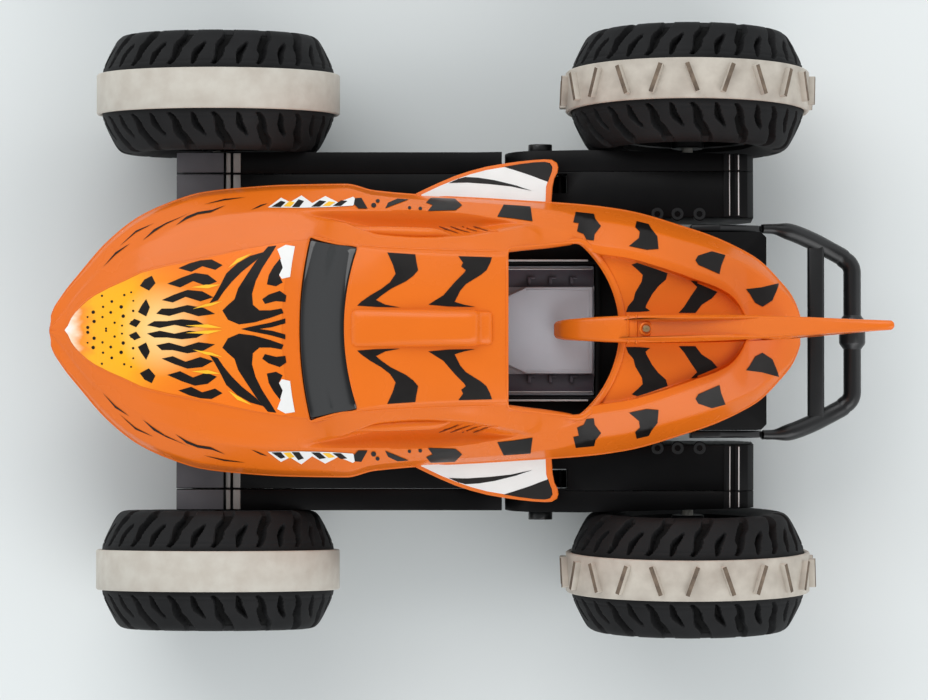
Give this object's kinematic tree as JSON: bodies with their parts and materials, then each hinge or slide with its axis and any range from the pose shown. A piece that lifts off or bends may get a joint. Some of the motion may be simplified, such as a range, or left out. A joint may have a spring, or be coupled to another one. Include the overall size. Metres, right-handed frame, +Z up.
{
  "type": "rc stunt car",
  "caption": "Radio-controlled skid-steer stunt car with big buoyant wheels, cleated bands, swinging rear gear arms, a shark-shaped body, tail fin and wheelie bar.",
  "frame": {"origin": "on the ground under the middle of the car's overall box", "axes": "+X towards the nose, +Y to the car's left, +Z up"},
  "size_m": [0.4508, 0.3334, 0.2295],
  "materials": {
    "shell_orange": "glossy moulded plastic with printed stripes",
    "black_plastic": "satin black moulded plastic",
    "tyre_rubber": "matt black rubber with block tread",
    "band_rubber": "cream soft rubber, slightly stained",
    "smoked_plastic": "gloss black tinted plastic",
    "cover_grey": "smoked grey plastic",
    "gear_nylon": "natural nylon",
    "steel": "plain steel",
    "board_green": "green circuit board",
    "cell_wrap": "heat-shrink sleeve"
  },
  "bodies": {
    "chassis": {"chassis_tub": "black_plastic", "chassis_deck": "black_plastic", "battery_cover": "cover_grey", "battery_pack": "cell_wrap", "circuit_board": "board_green", "wheelie_bar": "black_plastic", "bar_bracket_left": "black_plastic", "bar_bracket_right": "black_plastic", "body_shell": "shell_orange", "window_insert": "smoked_plastic", "tail_fin": "shell_orange", "fin_screw": "steel", "pectoral_fin_left": "shell_orange", "pectoral_fin_right": "shell_orange", "rail_case_left": "black_plastic", "rail_cover_left": "black_plastic", "rail_case_right": "black_plastic", "rail_cover_right": "black_plastic", "drive_motor_front_left": "steel", "drive_motor_front_right": "steel", "pivot_pin_left": "black_plastic", "pivot_pin_right": "black_plastic"},
    "arm_left": {"arm_case_left": "black_plastic", "arm_cover_left": "black_plastic", "arm_spring_left": "steel", "drive_motor_rear_left": "steel"},
    "arm_right": {"arm_case_right": "black_plastic", "arm_cover_right": "black_plastic", "arm_spring_right": "steel", "drive_motor_rear_right": "steel"},
    "wheel_front_left": {"tyre_front_left": "tyre_rubber", "tread_band_front_left": "band_rubber", "wheel_rim_front_left": "black_plastic", "wheel_nut_front_left": "steel", "output_shaft_front_left": "gear_nylon"},
    "wheel_front_right": {"tyre_front_right": "tyre_rubber", "tread_band_front_right": "band_rubber", "wheel_rim_front_right": "black_plastic", "wheel_nut_front_right": "steel", "output_shaft_front_right": "gear_nylon"},
    "wheel_rear_left": {"tyre_rear_left": "tyre_rubber", "tread_band_rear_left": "band_rubber", "wheel_rim_rear_left": "black_plastic", "wheel_nut_rear_left": "steel", "output_shaft_rear_left": "gear_nylon"},
    "wheel_rear_right": {"tyre_rear_right": "tyre_rubber", "tread_band_rear_right": "band_rubber", "wheel_rim_rear_right": "black_plastic", "wheel_nut_rear_right": "steel", "output_shaft_rear_right": "gear_nylon"},
    "idler_front_left": {"idler_gear_front_left": "gear_nylon"},
    "idler_front_right": {"idler_gear_front_right": "gear_nylon"},
    "idler_rear_left": {"idler_gear_rear_left": "gear_nylon"},
    "idler_rear_right": {"idler_gear_rear_right": "gear_nylon"},
    "pinion_front_left": {"motor_pinion_front_left": "gear_nylon"},
    "pinion_front_right": {"motor_pinion_front_right": "gear_nylon"},
    "pinion_rear_left": {"motor_pinion_rear_left": "gear_nylon"},
    "pinion_rear_right": {"motor_pinion_rear_right": "gear_nylon"},
    "switch": {"power_switch": "cover_grey"}
  },
  "joints": [
    {"name": "arm_pivot_left", "type": "hinge", "parent": "chassis", "child": "arm_left", "pos_m": [-0.042, 0.08, 0.0675], "axis": [0, 1, 0], "range_deg": [-8, 8], "stiffness_Nm_per_rad": 6, "springref_deg": -6.88},
    {"name": "arm_pivot_right", "type": "hinge", "parent": "chassis", "child": "arm_right", "pos_m": [-0.042, -0.08, 0.0675], "axis": [0, 1, 0], "range_deg": [-8, 8], "stiffness_Nm_per_rad": 6, "springref_deg": -6.88},
    {"name": "wheel_spin_front_left", "type": "hinge", "parent": "chassis", "child": "wheel_front_left", "pos_m": [0.1354, 0.1306, 0.067], "axis": [0, 1, 0], "continuous": true},
    {"name": "wheel_spin_front_right", "type": "hinge", "parent": "chassis", "child": "wheel_front_right", "pos_m": [0.1354, -0.1306, 0.067], "axis": [0, 1, 0], "continuous": true},
    {"name": "wheel_spin_rear_left", "type": "hinge", "parent": "arm_left", "child": "wheel_rear_left", "pos_m": [-0.1229, 0.13159, 0.07094], "axis": [0, 0.9981, -0.061], "continuous": true},
    {"name": "wheel_spin_rear_right", "type": "hinge", "parent": "arm_right", "child": "wheel_rear_right", "pos_m": [-0.1229, -0.13159, 0.07094], "axis": [0, 0.9981, 0.061], "continuous": true},
    {"name": "idler_spin_front_left", "type": "hinge", "parent": "chassis", "child": "idler_front_left", "pos_m": [0.11658, 0.088, 0.067], "axis": [0, 1, 0], "continuous": true},
    {"name": "idler_spin_front_right", "type": "hinge", "parent": "chassis", "child": "idler_front_right", "pos_m": [0.11658, -0.088, 0.067], "axis": [0, 1, 0], "continuous": true},
    {"name": "idler_spin_rear_left", "type": "hinge", "parent": "arm_left", "child": "idler_rear_left", "pos_m": [-0.10408, 0.08817, 0.0736], "axis": [0, 0.9981, -0.061], "continuous": true},
    {"name": "idler_spin_rear_right", "type": "hinge", "parent": "arm_right", "child": "idler_rear_right", "pos_m": [-0.10408, -0.08817, 0.0736], "axis": [0, 0.9981, 0.061], "continuous": true},
    {"name": "pinion_spin_front_left", "type": "hinge", "parent": "chassis", "child": "pinion_front_left", "pos_m": [0.09996, 0.092, 0.067], "axis": [0, 1, 0], "continuous": true},
    {"name": "pinion_spin_front_right", "type": "hinge", "parent": "chassis", "child": "pinion_front_right", "pos_m": [0.09996, -0.092, 0.067], "axis": [0, 1, 0], "continuous": true},
    {"name": "pinion_spin_rear_left", "type": "hinge", "parent": "arm_left", "child": "pinion_rear_left", "pos_m": [-0.08746, 0.09217, 0.07335], "axis": [0, 0.9981, -0.061], "continuous": true},
    {"name": "pinion_spin_rear_right", "type": "hinge", "parent": "arm_right", "child": "pinion_rear_right", "pos_m": [-0.08746, -0.09217, 0.07335], "axis": [0, 0.9981, 0.061], "continuous": true},
    {"name": "power_switch_slide", "type": "slide", "parent": "chassis", "child": "switch", "axis": [1, 0, 0], "range_m": [0, 0.004]}
  ],
  "couplings": [
    {"joint": "idler_spin_front_left", "follows": "wheel_spin_front_left", "ratio": -2.4},
    {"joint": "pinion_spin_front_left", "follows": "wheel_spin_front_left", "ratio": 4.8},
    {"joint": "idler_spin_front_right", "follows": "wheel_spin_front_right", "ratio": -2.4},
    {"joint": "pinion_spin_front_right", "follows": "wheel_spin_front_right", "ratio": 4.8},
    {"joint": "idler_spin_rear_left", "follows": "wheel_spin_rear_left", "ratio": -2.4},
    {"joint": "pinion_spin_rear_left", "follows": "wheel_spin_rear_left", "ratio": 4.8},
    {"joint": "idler_spin_rear_right", "follows": "wheel_spin_rear_right", "ratio": -2.4},
    {"joint": "pinion_spin_rear_right", "follows": "wheel_spin_rear_right", "ratio": 4.8}
  ]
}
